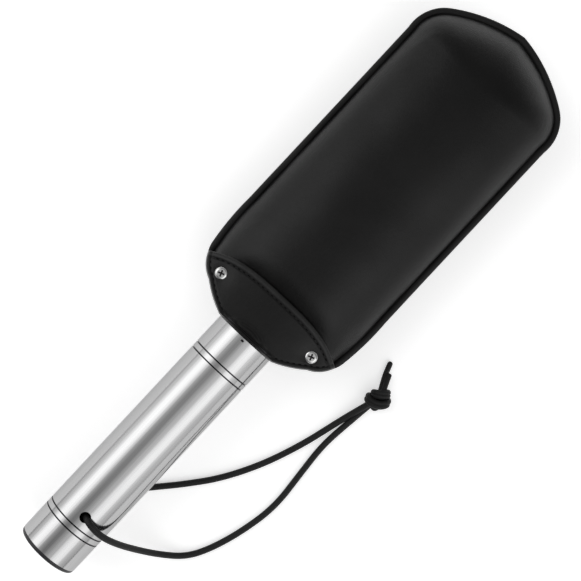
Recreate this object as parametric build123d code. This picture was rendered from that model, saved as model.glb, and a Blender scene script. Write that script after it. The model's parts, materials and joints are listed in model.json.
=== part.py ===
from build123d import *
import math
import os

os.makedirs("parts", exist_ok=True)

# A pocket golf ball retriever: a steel grip tube with nine telescoping pole sections inside it,
# a ball cage on the last section, and a leather pouch over the cage. It lies on its back.
# Millimetres. +Y runs from the butt of the grip to the tip of the pouch, +Z is the pouch's front.
# A station is a distance along the object from its butt end.

# Driving dimensions
TOTAL_LENGTH = 314.0
GRIP_DIAMETER = 30.0
GRIP_WALL = 0.8
AXIS_Z = 19.5
POUCH_WIDTH = 82.8
LEATHER = 1.5
RUNNING_GAP = 0.05
SOFT_GAP = 0.35

# Grip tube and what is fixed in it
GRIP_RADIUS = GRIP_DIAMETER / 2
GRIP_BORE = GRIP_DIAMETER - 2 * GRIP_WALL
GRIP_TOP = 164.0
CAP_LIP = 2.0
CAP_ROUND = 1.2
CAP_SPIGOT = 7.0
CAP_WALL = 1.6
GROOVE_STATIONS = (17.1, 20.1, 112.0, 115.0)
GROOVE_WIDTH = 0.7
GROOVE_DEPTH = 0.3
LANYARD_STATION = 25.9
LANYARD_HOLE = 5.1
LANYARD_ROLL = 9.4
STOP_PAD_START = 31.5
STOP_PAD_HOLE = 12.0
GUIDE_START = 124.0
CRIMP_STATION = 129.0
CRIMP_LENGTH = 1.4
CRIMP_RADIUS = 0.5
CRIMP_DEPTH = 0.3

# Telescoping pole
SECTION_COUNT = 9
FIRST_SECTION = 22.0
SECTION_STEP = 1.75
SECTION_WALL = 0.3
SECTION_START = 34.0
SECTION_STAGGER = 3.5
NECK_LENGTH = 2.5
SLIDER_LENGTH = 12.0
NECK_PIN = 1.6
NECK_PIN_BACK = 1.7

# Ball cage
CAGE_STATION = 271.0
ENTRY_RADIUS = 24.8
ENTRY_WIRE = 2.8
ENTRY_Z = 25.0
STOP_RADIUS = 20.5
STOP_WIRE = 3.0
STOP_Z = 9.5
POST_WIRE = 2.4
POST_ANGLES = (-30, 45, 90, 135, 210)
FORK_WIRE = 3.6
FORK_SPREAD = 25.0
FORK_ROOT_X = 4.5
FORK_ROOT_Z = 2.2
FERRULE_SPIGOT = 14.0
FERRULE_TOP = 210.0
FERRULE_DIAMETER = 9.5
BLOCK_TOP = 226.0
BLOCK_WIDTH = 14.0
BLOCK_HEIGHT = 9.0
PAWL_PIVOT_X = 22.6
PAWL_PIVOT_Z = 28.4
PAWL_REACH = 6.2
PAWL_WIDTH = 5.2
PAWL_THICKNESS = 1.2
PAWL_KNUCKLE = 2.0
PAWL_PIN = 1.2
SPRING_DIAMETER = 2.2
SPRING_GAP = 0.2
BRACKET_WIDTH = 12.8
BRACKET_FLOOR = 1.2
EAR_GAP = 8.4

# Leather cup at the mouth of the pouch, on its plastic frame
CUP_START = 130.3
CUP_FOOT_HALF = GRIP_RADIUS + 0.8
CUP_BELLY = (30.1, 138.5)
CUP_TIP = (39.1, 149.1)
CUP_ARC_TOP = 154.4
CUP_HALF_WIDTH = 39.5
CUP_FRONT = 18.8
BACK_DEPTH = 20.4
CUP_POWER = 2.5
CUP_PRISM_TOP = 161.0
FRAME_TOP = 148.0
PLUG_TOP = 153.0
PLUG_LOW_Z = 5.2
PLUG_HIGH_Z = 32.0
SCREW_HALF_SPACING = 26.8
SCREW_STATION = 144.3
SCREW_SEAT_Z = 33.3
SCREW_HEAD = 6.0
SCREW_HEAD_HEIGHT = 1.9
SCREW_DOME = 1.3
SCREW_SHANK = 2.9
SCREW_LENGTH = 16.0
RECESS_LENGTH = 3.0
RECESS_WIDTH = 0.8
RECESS_DEPTH = 1.0
RECESS_TURN = 20.0
SLEEVE_DIAMETER = 5.0
SLEEVE_BORE = 3.0
SLEEVE_HEAD = 8.0
SLEEVE_HEAD_HEIGHT = 1.2
SLEEVE_SEAT_Z = 4.2
HEAD_CLEARANCE = 0.1

# Pouch: half-width and station of the outline's corners
HEEL = (37.6, 136.0)
SIDE_START = 168.0
SIDE_END = 285.0
SHOULDER_ARC = (39.7, 294.0)
SHOULDER = (34.0, 300.5)
CROWN_ARC = (17.4, 309.6)
POUCH_FLANGE = 2.4
FLANGE_THICKNESS = 3.0
MOUTH_STATION = 149.5
BODY_START = 155.5
POUCH_SKIN = 1.8
NECK_SKIN = 1.4
POUCH_FRONT = 21.0
POUCH_POWER = 3.0

# Wrist cord
CORD = 3.0
KNOT_CENTRE = (64.1, 151.2, 4.1)
KNOT_SIZE = (10.6, 10.4, 7.8)
KNOT_ROUND = 3.4

BOTTOM_UP = (Align.CENTER, Align.CENTER, Align.MIN)
WIDE = 60.0
LOW_STATION = 96.0
HIGH_STATION = TOTAL_LENGTH + 5.0


def y_of(station):
    """The Y coordinate of a station."""
    return station - TOTAL_LENGTH / 2


def at(x, station, z):
    """A point given by its station instead of its Y."""
    return (x, y_of(station), z)


def flat(x, station):
    """A point of a plan outline, given by its station instead of its Y."""
    return (x, y_of(station))


def round_bar(diameter, start, end, bore=0.0):
    """A bar or tube on the grip's axis, from one station to another."""
    bar = Cylinder(diameter / 2, end - start, align=BOTTOM_UP)
    if bore:
        bar -= Cylinder(bore / 2, end - start, align=BOTTOM_UP)
    return Pos(*at(0, start, AXIS_Z)) * Rot(-90, 0, 0) * bar


def rod(start, end, diameter):
    """A straight round rod between two points."""
    first, last = Vector(*start), Vector(*end)
    direction = last - first
    bar = Cylinder(diameter / 2, direction.length, align=BOTTOM_UP)
    return Plane(origin=first, z_dir=direction) * bar


def post(diameter, low, high):
    """An upright round post on the Z axis, between two heights."""
    return Pos(0, 0, low) * Cylinder(diameter / 2, high - low, align=BOTTOM_UP)


def block(low, high):
    """A box between two corners."""
    size = [b - a for a, b in zip(low, high)]
    middle = [(a + b) / 2 for a, b in zip(low, high)]
    return Pos(*middle) * Box(*size)


def slab(low_z, high_z, start=LOW_STATION, end=HIGH_STATION):
    """A box wider than the object, between two heights and two stations."""
    return block(at(-WIDE, start, low_z), at(WIDE, end, high_z))


def fused(solids):
    """One shape from several overlapping ones."""
    whole = solids[0]
    for solid in solids[1:]:
        whole += solid
    return whole


def pillow_prism(half_width, front, back, power, start, end):
    """A prism along Y whose section is a superellipse, deeper or shallower at the back."""
    steps = 24
    points = []
    for step in range(steps):
        turn = 2 * math.pi * step / steps
        across, up = math.cos(turn), math.sin(turn)
        x = half_width * math.copysign(abs(across) ** (2 / power), across)
        depth = front if up > 0 else back
        z = depth * math.copysign(abs(up) ** (2 / power), up)
        points.append((x, z))
    plane = Plane(origin=at(0, start, AXIS_Z), x_dir=(1, 0, 0), z_dir=(0, -1, 0))
    section = plane * make_face(Spline(*points, periodic=True))
    return extrude(section, amount=end - start, dir=(0, 1, 0))


def upright(face, height=WIDE):
    """A prism up from the surface that the object lies on."""
    return extrude(face, amount=height, dir=(0, 0, 1))


def cup_plan(inset, top=None):
    """The lens-shaped outline of the leather cup, with its lower edges moved in.

    With no top it ends in the flaps' arc, and with one it runs up to that station."""
    foot = flat(CUP_FOOT_HALF - inset / 2, CUP_START + inset)
    belly = flat(CUP_BELLY[0] - inset * 0.8, CUP_BELLY[1] + inset * 0.8)
    tip = flat(CUP_TIP[0] - inset, CUP_TIP[1])
    left_foot, left_belly, left_tip = [(-x, y) for x, y in (foot, belly, tip)]
    outline = [ThreePointArc(foot, belly, tip)]
    if top is None:
        outline.append(ThreePointArc(tip, flat(0, CUP_ARC_TOP), left_tip))
    else:
        outline.append(Polyline(tip, (tip[0], y_of(top)), (left_tip[0], y_of(top)), left_tip))
    outline.append(ThreePointArc(left_tip, left_belly, left_foot))
    outline.append(Line(left_foot, foot))
    return make_face(outline)


def pouch_plan(inset):
    """The pouch's outline, straight-sided with round shoulders and a blunt point, moved in."""
    heel, shoulder, apex = flat(*HEEL), flat(*SHOULDER), flat(0, TOTAL_LENGTH)
    side_low, side_high = flat(POUCH_WIDTH / 2, SIDE_START), flat(POUCH_WIDTH / 2, SIDE_END)
    right = [
        Line(heel, side_low),
        Line(side_low, side_high),
        ThreePointArc(side_high, flat(*SHOULDER_ARC), shoulder),
        ThreePointArc(shoulder, flat(*CROWN_ARC), apex),
    ]
    left = [mirror(edge, about=Plane.YZ) for edge in right]
    face = make_face(right + left + [Line((-heel[0], heel[1]), heel)])
    return offset(face, amount=-inset) if inset else face


def pouch_side(inset):
    """The pouch's outline seen from its side, as a prism across X."""
    front = AXIS_Z + POUCH_FRONT - inset
    back = AXIS_Z - BACK_DEPTH + inset
    start = BODY_START + inset
    end = TOTAL_LENGTH - POUCH_FLANGE - inset
    rise, front_fall, back_fall = 9.0, 26.0, 22.0
    front_lip, back_lip, nose = 13.5, 15.5, 4.0
    points = [
        (y_of(start), AXIS_Z + front_lip - inset),
        (y_of(start + rise), front),
        (y_of(end - front_fall), front),
        (y_of(end), AXIS_Z + nose),
        (y_of(end), AXIS_Z - nose),
        (y_of(end - back_fall), back),
        (y_of(start + rise), back),
        (y_of(start), AXIS_Z - back_lip + inset),
    ]
    profile = make_face(Polyline(*points, close=True))
    rounded = fillet(profile.vertices().sort_by(Axis.X)[2:], 3.5)
    return extrude(Plane.YZ * rounded, amount=POUCH_WIDTH, both=True)


def cord_tube(name, points):
    """A cord's tube along straight runs and tangent arcs, each arc as large as its runs allow."""
    route = [Vector(*at(*point)) for point in points]
    radii = []
    for before, corner, after in zip(route, route[1:], route[2:]):
        run_in, run_out = corner - before, after - corner
        turn = math.radians(run_in.get_angle(run_out))
        radii.append(0.45 * min(run_in.length, run_out.length) / math.tan(turn / 2))
    path = FilletPolyline(*route, radius=radii) if radii else Line(*route)
    start = Plane(origin=path @ 0, z_dir=path % 0)
    tube = sweep(start * Circle(CORD / 2), path=path)
    expected = math.pi * CORD**2 / 4 * path.length
    runs = [round((b - a).length, 1) for a, b in zip(route, route[1:])]
    print(name, "length", round(path.length, 1), "volume ratio", round(tube.volume / expected, 4))
    print("  runs", runs, "radii", [round(radius, 1) for radius in radii])
    return tube


parts = {}

# ---- Grip -------------------------------------------------------------------------------------

grip_tube = round_bar(GRIP_DIAMETER, CAP_LIP, GRIP_TOP, GRIP_BORE)
for station in GROOVE_STATIONS:
    low, high = station - GROOVE_WIDTH / 2, station + GROOVE_WIDTH / 2
    grip_tube -= round_bar(GRIP_DIAMETER + 2, low, high, GRIP_DIAMETER - 2 * GROOVE_DEPTH)
lanyard_axis = Pos(*at(0, LANYARD_STATION, AXIS_Z)) * Rot(0, LANYARD_ROLL, 0)
grip_tube -= lanyard_axis * Cylinder(LANYARD_HOLE / 2, 2 * GRIP_DIAMETER)
crimp_z = AXIS_Z + GRIP_RADIUS - CRIMP_DEPTH + CRIMP_RADIUS
crimp_start = at(-CRIMP_LENGTH / 2, CRIMP_STATION, crimp_z)
crimp_end = at(CRIMP_LENGTH / 2, CRIMP_STATION, crimp_z)
grip_tube -= rod(crimp_start, crimp_end, 2 * CRIMP_RADIUS)
parts["grip_tube"] = grip_tube

lip = round_bar(GRIP_DIAMETER - 0.4, 0, CAP_LIP)
lip = fillet(lip.edges().sort_by(Axis.Y)[0], CAP_ROUND)
spigot = round_bar(GRIP_BORE, CAP_LIP, CAP_LIP + CAP_SPIGOT, GRIP_BORE - 2 * CAP_WALL)
parts["end_cap"] = lip + spigot
parts["stop_pad"] = round_bar(GRIP_BORE, STOP_PAD_START, SECTION_START, STOP_PAD_HOLE)
parts["guide_bush"] = round_bar(GRIP_BORE, GUIDE_START, GRIP_TOP, FIRST_SECTION + 2 * RUNNING_GAP)

# ---- Telescoping pole -------------------------------------------------------------------------


def section_diameter(number):
    """The outside diameter of a pole section, counted from 1 at the grip."""
    return FIRST_SECTION - SECTION_STEP * (number - 1)


def section_bore(number):
    """The bore of a pole section, or of the grip for number 0."""
    return section_diameter(number) - 2 * SECTION_WALL if number else GRIP_BORE


def section_top(number):
    """The station of a section's open end with the pole pushed in."""
    return GRIP_TOP + SECTION_STAGGER * number


for number in range(1, SECTION_COUNT + 1):
    outside = section_diameter(number)
    section = round_bar(outside, SECTION_START, section_top(number), section_bore(number))
    if number < SECTION_COUNT:
        neck_bore = section_diameter(number + 1) + 2 * RUNNING_GAP
        section += round_bar(outside, section_top(number) - NECK_LENGTH, section_top(number), neck_bore)
    slider_outside = section_bore(number - 1) - 2 * RUNNING_GAP
    slider = round_bar(slider_outside, SECTION_START, SECTION_START + SLIDER_LENGTH, outside)
    parts[f"pole_section_{number}"] = section
    parts[f"slider_{number}"] = slider

# ---- Ball cage --------------------------------------------------------------------------------


def on_ring(radius, degrees, z):
    """A point on a ring round the cage's upright axis."""
    angle = math.radians(degrees)
    return at(radius * math.cos(angle), CAGE_STATION + radius * math.sin(angle), z)


last_diameter = section_diameter(SECTION_COUNT)
last_top = section_top(SECTION_COUNT)
pin_station = last_top - NECK_PIN_BACK
pin_half = last_diameter / 2 - 0.05
pin_hole = rod(at(-10, pin_station, AXIS_Z), at(10, pin_station, AXIS_Z), NECK_PIN)
parts["neck_pin"] = rod(at(-pin_half, pin_station, AXIS_Z), at(pin_half, pin_station, AXIS_Z), NECK_PIN)
parts[f"pole_section_{SECTION_COUNT}"] -= pin_hole

fork_block = block(
    at(-BLOCK_WIDTH / 2, FERRULE_TOP, AXIS_Z - BLOCK_HEIGHT / 2),
    at(BLOCK_WIDTH / 2, BLOCK_TOP, AXIS_Z + BLOCK_HEIGHT / 2),
)
fork_block = fillet(fork_block.edges().filter_by(Axis.Y), 2.0)
ferrule = round_bar(section_bore(SECTION_COUNT), last_top - FERRULE_SPIGOT, last_top)
ferrule += round_bar(FERRULE_DIAMETER, last_top, FERRULE_TOP)
parts["head_ferrule"] = (ferrule - pin_hole) + fork_block

parts["entry_ring"] = Pos(*at(0, CAGE_STATION, ENTRY_Z)) * Torus(ENTRY_RADIUS, ENTRY_WIRE / 2)
parts["stop_ring"] = Pos(*at(0, CAGE_STATION, STOP_Z)) * Torus(STOP_RADIUS, STOP_WIRE / 2)
rings = [parts["entry_ring"], parts["stop_ring"]]

fork = []
for side in (-1, 1):
    for radius, z, lift in ((ENTRY_RADIUS, ENTRY_Z, FORK_ROOT_Z), (STOP_RADIUS, STOP_Z, -FORK_ROOT_Z)):
        root = at(side * FORK_ROOT_X, BLOCK_TOP - 3, AXIS_Z + lift)
        fork.append(rod(root, on_ring(radius, -90 + side * FORK_SPREAD, z), FORK_WIRE))
parts["cage_fork"] = fused(fork) - rings - parts["head_ferrule"]

posts = []
for degrees in POST_ANGLES:
    low = on_ring(STOP_RADIUS + 1.2, degrees, STOP_Z)
    high = on_ring(ENTRY_RADIUS + 0.4, degrees, ENTRY_Z)
    posts.append(rod(low, high, POST_WIRE) - rings)
parts["cage_posts"] = Compound(posts)


def across_pivot(start, end, diameter):
    """A rod on the right pawl's pivot axis, from one distance to another along Y."""
    return rod((PAWL_PIVOT_X, start, PAWL_PIVOT_Z), (PAWL_PIVOT_X, end, PAWL_PIVOT_Z), diameter)


def pawl_bracket():
    """The right pawl's bracket: two ears joined by a floor and an outer wall."""
    inner, outer = PAWL_PIVOT_X - 1.4, PAWL_PIVOT_X + 3.4
    low, high = PAWL_PIVOT_Z - 2.6, PAWL_PIVOT_Z + 1.4
    ears = block((inner, -BRACKET_WIDTH / 2, low), (outer, BRACKET_WIDTH / 2, high))
    ears -= block((inner - 1, -EAR_GAP / 2, low - 1), (PAWL_PIVOT_X + 1.0, EAR_GAP / 2, high + 1))
    ears -= block((inner - 1, -EAR_GAP / 2, low + BRACKET_FLOOR), (outer + 1, EAR_GAP / 2, high + 1))
    return ears - across_pivot(-BRACKET_WIDTH / 2, BRACKET_WIDTH / 2, PAWL_PIN)


def pawl():
    """The right pawl: a thin tongue with rounded corners and a knuckle on its pin."""
    half, thin = PAWL_WIDTH / 2, PAWL_THICKNESS / 2
    tongue = block(
        (PAWL_PIVOT_X - PAWL_REACH, -half, PAWL_PIVOT_Z - thin),
        (PAWL_PIVOT_X, half, PAWL_PIVOT_Z + thin),
    )
    tongue = fillet(tongue.edges().filter_by(Axis.Z).sort_by(Axis.X)[:2], 2.0)
    knuckle = across_pivot(-half, half, PAWL_KNUCKLE)
    return (knuckle + tongue) - across_pivot(-half, half, PAWL_PIN + 2 * RUNNING_GAP)


def pawl_spring(end):
    """The outside of the small torsion spring at one end of the right pawl's knuckle."""
    start, stop = end * (PAWL_WIDTH / 2 + SPRING_GAP), end * (EAR_GAP / 2 - SPRING_GAP)
    return across_pivot(start, stop, SPRING_DIAMETER) - across_pivot(start, stop, PAWL_PIN)


brackets, pins, springs = [], [], []
for name, turn in (("left", 180), ("right", 0)):
    turned = Pos(*at(0, CAGE_STATION, 0)) * Rot(0, 0, turn)
    brackets.append((turned * pawl_bracket()) - parts["entry_ring"])
    pins.append(turned * across_pivot(-BRACKET_WIDTH / 2, BRACKET_WIDTH / 2, PAWL_PIN))
    parts[f"pawl_{name}"] = turned * pawl()
    for end in (-1, 1):
        springs.append(turned * pawl_spring(end))
parts["pawl_brackets"] = Compound(brackets)
parts["pawl_pins"] = Compound(pins)
parts["pawl_springs"] = Compound(springs)

# ---- Leather cup and its frame ----------------------------------------------------------------

above_ground = slab(0, WIDE)
front_half = slab(AXIS_Z, WIDE)
back_half = slab(-10, AXIS_Z)
grip_space = round_bar(GRIP_DIAMETER, 0, GRIP_TOP + 20)


def cup_prism(inset, end):
    """The cup's pillow-shaped section, moved in, from below the cup up to a station."""
    sizes = (CUP_HALF_WIDTH - inset, CUP_FRONT - inset, BACK_DEPTH - inset)
    return pillow_prism(*sizes, CUP_POWER, CUP_START - 5, end)


cup_outer = upright(cup_plan(0)) & cup_prism(0, CUP_PRISM_TOP) & above_ground
cup_hollow = upright(cup_plan(LEATHER, top=CUP_PRISM_TOP)) & cup_prism(LEATHER, CUP_PRISM_TOP)
cup_hollow &= slab(LEATHER, WIDE)
cup_leather = cup_outer - cup_hollow - grip_space
plug_inset = LEATHER + SOFT_GAP + NECK_SKIN + SOFT_GAP
plug = cup_prism(plug_inset, PLUG_TOP) & slab(PLUG_LOW_Z, PLUG_HIGH_Z, FRAME_TOP - 4, PLUG_TOP)
frame = (cup_hollow & slab(0, WIDE, end=FRAME_TOP)) + plug - grip_space


def flap_screw():
    """A pan-head screw with a cross recess, standing on the Z axis."""
    top = SCREW_SEAT_Z + SCREW_HEAD_HEIGHT
    head = post(SCREW_HEAD, SCREW_SEAT_Z, top)
    head = fillet(head.edges().sort_by(Axis.Z)[-1], SCREW_DOME)
    for turn in (RECESS_TURN, RECESS_TURN + 90):
        head -= Pos(0, 0, top) * Rot(0, 0, turn) * Box(RECESS_LENGTH, RECESS_WIDTH, 2 * RECESS_DEPTH)
    return head + post(SCREW_SHANK, SCREW_SEAT_Z - SCREW_LENGTH, SCREW_SEAT_Z)


def sleeve_nut():
    """A barrel nut with a low flange, standing on the Z axis."""
    flange = post(SLEEVE_HEAD, SLEEVE_SEAT_Z - SLEEVE_HEAD_HEIGHT, SLEEVE_SEAT_Z)
    flange = fillet(flange.edges().sort_by(Axis.Z)[0], SLEEVE_HEAD_HEIGHT / 2)
    barrel = post(SLEEVE_DIAMETER, SLEEVE_SEAT_Z, SCREW_SEAT_Z - 1)
    return flange + (barrel - post(SLEEVE_BORE, SCREW_SEAT_Z - SCREW_LENGTH - 1, SCREW_SEAT_Z))


screws, sleeves = [], []
for side in (-1, 1):
    place = Pos(*at(side * SCREW_HALF_SPACING, SCREW_STATION, 0))
    head_hole = post(SCREW_HEAD + 2 * HEAD_CLEARANCE, SCREW_SEAT_Z, WIDE)
    foot_hole = post(SLEEVE_HEAD + 2 * HEAD_CLEARANCE, -10, SLEEVE_SEAT_Z)
    fixing_hole = place * (head_hole + foot_hole + post(SLEEVE_DIAMETER, -10, WIDE))
    cup_leather -= fixing_hole
    frame -= fixing_hole
    screws.append(place * flap_screw())
    sleeves.append(place * sleeve_nut())

parts["cup_frame"] = frame
parts["front_flap"] = cup_leather & front_half
parts["back_flap"] = cup_leather & back_half
parts["flap_screws"] = Compound(screws)
parts["sleeve_nuts"] = Compound(sleeves)

# ---- Pouch ------------------------------------------------------------------------------------


def pouch_body(inset):
    """The swollen part of the pouch, beyond the flaps, moved in by an inset."""
    sizes = ((POUCH_WIDTH - POUCH_FLANGE) / 2 - inset, POUCH_FRONT - inset, BACK_DEPTH - inset)
    shape = upright(pouch_plan(POUCH_FLANGE + inset))
    shape &= pillow_prism(*sizes, POUCH_POWER, BODY_START - 5, HIGH_STATION)
    return shape & pouch_side(inset)


def pouch_neck(inset, start, end):
    """The part of the pouch that tucks into the cup, moved in by an inset."""
    return cup_prism(inset, end) & slab(inset, WIDE, start)


neck_inset = LEATHER + SOFT_GAP
outside = (pouch_body(0) & above_ground) + pouch_neck(neck_inset, MOUTH_STATION, BODY_START + 4)
hollow = pouch_body(POUCH_SKIN) & slab(POUCH_SKIN, WIDE)
hollow += pouch_neck(neck_inset + NECK_SKIN, MOUTH_STATION - 1, BODY_START + 6)
pouch_skin = outside - hollow
parts["pouch_front"] = pouch_skin & front_half
parts["pouch_back"] = pouch_skin & back_half

margin = upright(pouch_plan(0) - pouch_plan(POUCH_FLANGE), FLANGE_THICKNESS)
margin = Pos(0, 0, AXIS_Z - FLANGE_THICKNESS / 2) * margin
parts["pouch_flange"] = (margin & slab(0, WIDE, MOUTH_STATION)) - outside

# ---- Wrist cord -------------------------------------------------------------------------------

roll = math.radians(LANYARD_ROLL)


def on_lanyard_axis(distance):
    """A point on the axis of the two lanyard holes, by its distance from the grip's axis."""
    return (distance * math.sin(roll), LANYARD_STATION, AXIS_Z + distance * math.cos(roll))


# Routes as (x, station, z)
front_start = on_lanyard_axis(8.0)
back_start = on_lanyard_axis(-9.0)
front_route = [
    front_start,
    on_lanyard_axis(17.4),
    (12.2, 24.2, 34.3),
    (20.8, 25.0, 26.4),
    (29.5, 27.0, 15.8),
    (38.6, 30.3, 6.8),
    (48.9, 37.0, 1.55),
    (54.9, 48.0, 1.5),
    (59.9, 63.5, 1.5),
    (63.3, 82.0, 1.5),
    (61.4, 102.0, 1.5),
    (60.0, 118.0, 1.5),
    (61.9, 134.0, 1.5),
    (63.9, 146.8, 3.2),
]
back_route = [
    back_start,
    on_lanyard_axis(-18.24),
    (2.3, 34.6, 1.5),
    (8.6, 42.0, 1.5),
    (16.6, 51.0, 1.5),
    (25.6, 61.2, 1.5),
    (36.2, 74.8, 1.5),
    (46.0, 93.0, 1.5),
    (53.0, 112.0, 1.5),
    (57.0, 127.0, 1.5),
    (59.8, 137.0, 2.5),
    (62.4, 146.6, 4.6),
]
tail_route = [
    (62.3, 155.2, 3.6),
    (59.6, 162.4, 2.0),
    (56.4, 170.2, 1.5),
]
parts["cord_inside"] = cord_tube("cord_inside", [back_start, front_start])
parts["cord_front"] = cord_tube("cord_front", front_route)
parts["cord_back"] = cord_tube("cord_back", back_route)
parts["cord_tail"] = cord_tube("cord_tail", tail_route)

knot = Pos(*at(*KNOT_CENTRE)) * Box(*KNOT_SIZE)
parts["cord_knot"] = fillet(knot.edges(), KNOT_ROUND)

for node, shape in parts.items():
    export_step(shape, f"parts/{node}.step")
    print(node, round(shape.volume, 1), shape.bounding_box().size)
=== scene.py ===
import json
import math

import bpy
from mathutils import Matrix, Vector, noise


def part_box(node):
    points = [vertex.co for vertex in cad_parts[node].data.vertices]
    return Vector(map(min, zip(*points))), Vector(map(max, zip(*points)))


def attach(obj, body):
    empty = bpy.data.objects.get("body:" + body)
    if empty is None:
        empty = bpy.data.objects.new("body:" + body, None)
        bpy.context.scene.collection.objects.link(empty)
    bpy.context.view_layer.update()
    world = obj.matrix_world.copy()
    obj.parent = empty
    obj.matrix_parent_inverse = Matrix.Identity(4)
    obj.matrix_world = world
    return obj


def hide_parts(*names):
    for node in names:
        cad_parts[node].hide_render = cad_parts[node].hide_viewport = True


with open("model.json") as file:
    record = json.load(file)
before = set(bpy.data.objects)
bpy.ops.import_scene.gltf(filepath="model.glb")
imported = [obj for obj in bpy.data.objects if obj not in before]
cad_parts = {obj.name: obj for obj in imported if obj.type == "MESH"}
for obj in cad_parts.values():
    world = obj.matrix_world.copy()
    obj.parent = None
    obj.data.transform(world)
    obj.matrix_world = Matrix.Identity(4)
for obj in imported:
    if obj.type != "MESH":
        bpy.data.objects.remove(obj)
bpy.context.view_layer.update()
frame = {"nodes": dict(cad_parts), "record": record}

# Looks of a pocket golf ball retriever around its CAD frame. +Y runs from the butt to the pouch's
# tip, and +Z is the front. A station is a distance from the butt along the object. Lengths in the
# shapes are in millimetres, and at() turns them into metres. The frame's boxes, the screws' places,
# shader scales and depths and the studio lights are in metres.

MM = 0.001

# ---- Sizes from the frame ---------------------------------------------------------------------

grip_low, grip_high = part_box("grip_tube")
flange_low, flange_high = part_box("pouch_flange")
butt_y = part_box("end_cap")[0].y
axis_z = (grip_low.z + grip_high.z) / 2 / MM
grip_radius = (grip_high.z - grip_low.z) / 2 / MM
length_mm = (flange_high.y - butt_y) / MM
half_width = (flange_high.x - flange_low.x) / 2 / MM
front_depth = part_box("pouch_front")[1].z / MM - axis_z
back_depth = axis_z
cup_low, cup_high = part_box("front_flap")
cup_foot = (cup_low.y - butt_y) / MM
cup_arc_top = (cup_high.y - butt_y) / MM
cup_depth = cup_high.z / MM - axis_z

# The flaps' tips are rounded off this much short of their box
TIP_TRIM = 0.5
cup_half = (cup_high.x - cup_low.x) / 2 / MM - TIP_TRIM

screw_low, screw_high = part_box("flap_screws")
screw_x = (screw_high.x - screw_low.x) / 2 - (screw_high.y - screw_low.y) / 2
screw_y = (screw_low.y + screw_high.y) / 2
screw_top = screw_high.z

# The leather's thickness, the width of the pouch's sewn margin, and the cord's diameter
LEATHER = 1.4
FLANGE = 2.7
CORD = 3.0

# The back's leather is shaped a little fuller than the room under it, and the floor presses it flat
BACK_CROWN = 0.9
FLOOR_GAP = 0.02


def at(x, station, z):
    """A point in metres, from millimetres and a station, with z up from the surface."""
    return Vector((x * MM, butt_y + station * MM, z * MM))


def smooth(edge_low, edge_high, value):
    """A smooth step from 0 to 1 between two values."""
    t = min(1.0, max(0.0, (value - edge_low) / (edge_high - edge_low)))
    return t * t * (3 - 2 * t)


def ripple(x, y, z, size, seed=0.0):
    """Smooth noise from -1 to 1 with features of about a size, all in millimetres."""
    return noise.noise(Vector((x / size + seed, y / size - seed, z / size + 2 * seed)))


# ---- Mesh helpers -----------------------------------------------------------------------------


def make_mesh(name, verts, faces, uvs=None, shade_smooth=True):
    """A mesh object from points in metres and faces, with uvs given for each vertex."""
    mesh = bpy.data.meshes.new(name)
    mesh.from_pydata([tuple(v) for v in verts], [], faces)
    mesh.validate()
    if uvs:
        layer = mesh.uv_layers.new(name="UVMap")
        for loop in mesh.loops:
            layer.data[loop.index].uv = uvs[loop.vertex_index]
    if shade_smooth:
        mesh.polygons.foreach_set("use_smooth", [True] * len(mesh.polygons))
    mesh.update()
    piece = bpy.data.objects.new(name, mesh)
    bpy.context.scene.collection.objects.link(piece)
    return piece


def grid_faces(rows, columns, closed=False):
    """Quads over a grid of points stored row by row, with the last column joined to the first if closed."""
    faces = []
    for row in range(rows - 1):
        for column in range(columns if closed else columns - 1):
            after = (column + 1) % columns
            faces.append((
                row * columns + column,
                row * columns + after,
                (row + 1) * columns + after,
                (row + 1) * columns + column,
            ))
    return faces


def apply_modifiers(piece):
    """Bakes a piece's modifiers into its mesh."""
    graph = bpy.context.evaluated_depsgraph_get()
    mesh = bpy.data.meshes.new_from_object(piece.evaluated_get(graph))
    piece.modifiers.clear()
    piece.data = mesh


def thicken(piece, thickness_mm, lining=None):
    """Gives a surface a thickness towards its inside, with an optional lining material."""
    modifier = piece.modifiers.new("thickness", "SOLIDIFY")
    modifier.thickness = thickness_mm * MM
    modifier.offset = -1
    modifier.use_even_offset = False
    if lining:
        piece.data.materials.append(lining)
        modifier.material_offset = 1
    apply_modifiers(piece)


def weld(piece):
    """Joins vertices that lie on each other."""
    modifier = piece.modifiers.new("weld", "WELD")
    modifier.merge_threshold = 0.01 * MM
    apply_modifiers(piece)


def arc_points(start, middle, end, count):
    """Points on the arc through three points in a plane."""
    (ax, ay), (bx, by), (cx, cy) = start, middle, end
    d = 2 * (ax * (by - cy) + bx * (cy - ay) + cx * (ay - by))
    a2, b2, c2 = ax * ax + ay * ay, bx * bx + by * by, cx * cx + cy * cy
    ux = (a2 * (by - cy) + b2 * (cy - ay) + c2 * (ay - by)) / d
    uy = (a2 * (cx - bx) + b2 * (ax - cx) + c2 * (bx - ax)) / d
    radius = math.hypot(ax - ux, ay - uy)
    first = math.atan2(ay - uy, ax - ux)
    through = (math.atan2(by - uy, bx - ux) - first) % (2 * math.pi)
    last = (math.atan2(cy - uy, cx - ux) - first) % (2 * math.pi)
    sweep = last if through < last else last - 2 * math.pi
    points = []
    for step in range(count + 1):
        angle = first + sweep * step / count
        points.append((ux + radius * math.cos(angle), uy + radius * math.sin(angle)))
    return points


def resample(points, spacing):
    """The same line with points evenly spaced along it."""
    line = [Vector(p) for p in points]
    lengths = [0.0]
    for before, after in zip(line, line[1:]):
        lengths.append(lengths[-1] + (after - before).length)
    count = max(2, round(lengths[-1] / spacing))
    made, index = [], 0
    for step in range(count + 1):
        target = lengths[-1] * step / count
        while index < len(lengths) - 2 and lengths[index + 1] < target:
            index += 1
        share = (target - lengths[index]) / max(1e-12, lengths[index + 1] - lengths[index])
        made.append(line[index].lerp(line[index + 1], min(1.0, share)))
    return made


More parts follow.
